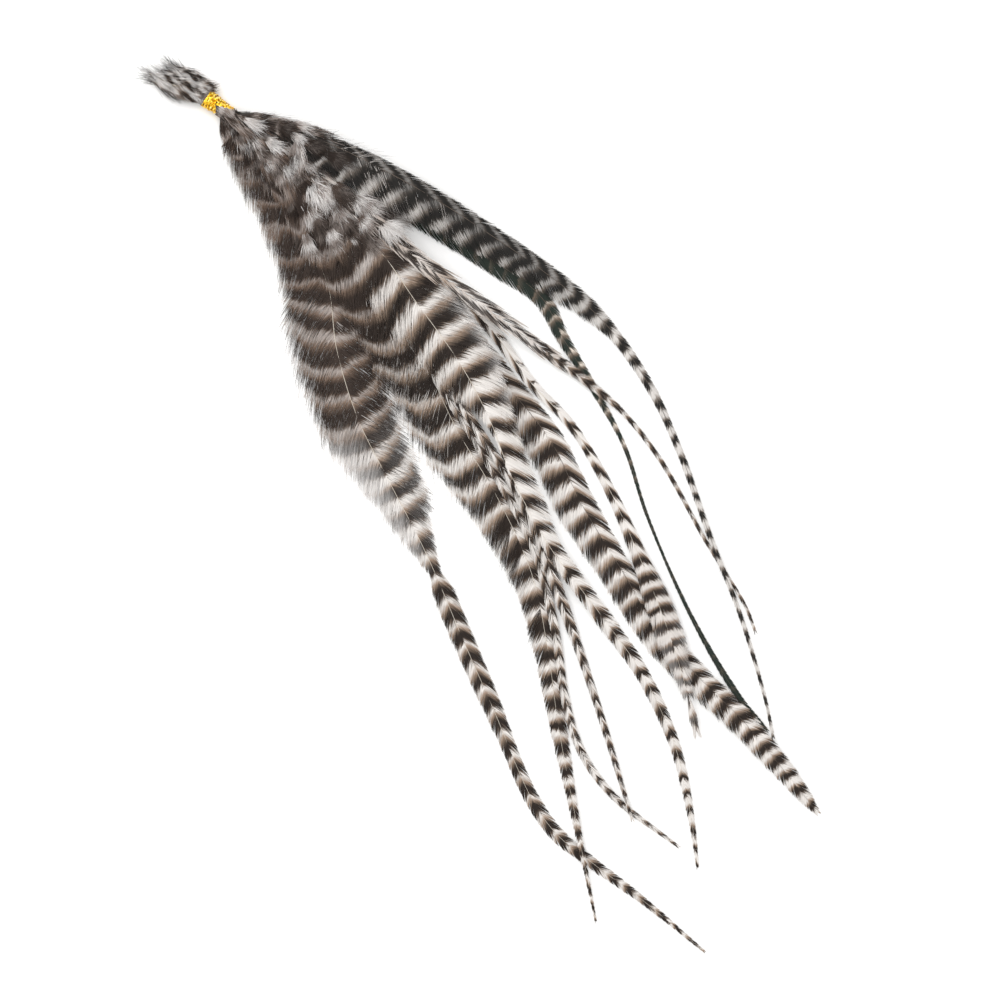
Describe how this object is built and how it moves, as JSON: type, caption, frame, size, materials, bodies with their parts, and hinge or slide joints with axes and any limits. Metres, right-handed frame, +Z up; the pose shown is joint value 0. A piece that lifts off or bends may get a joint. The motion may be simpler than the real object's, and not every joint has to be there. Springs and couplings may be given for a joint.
{
  "type": "tied feather bunch",
  "caption": "Bunch of long slender barred cock hackle feathers, bound near their quill ends by a wrap of gold tinsel thread, lying flat.",
  "frame": {"origin": "on the surface the bunch lies on, below the middle of the whole bunch", "axes": "+Y the longest extent, from the tips to the quill ends; +X towards the tips on the right; +Z up"},
  "size_m": [0.1872, 0.2486, 0.0104],
  "materials": {
    "barred_feather": "matte",
    "black_feather": "satin",
    "gold_tinsel": "gloss"
  },
  "bodies": {
    "root": {"black_feather": "black_feather", "left_long_feather": "barred_feather", "broad_right_feather": "barred_feather", "centre_feather": "barred_feather", "narrow_feather": "barred_feather", "middle_feather": "barred_feather", "slashed_feather": "barred_feather", "front_feather": "barred_feather", "sparse_feather": "barred_feather", "outer_arc_feather": "barred_feather", "gold_tie": "gold_tinsel"}
  },
  "joints": []
}
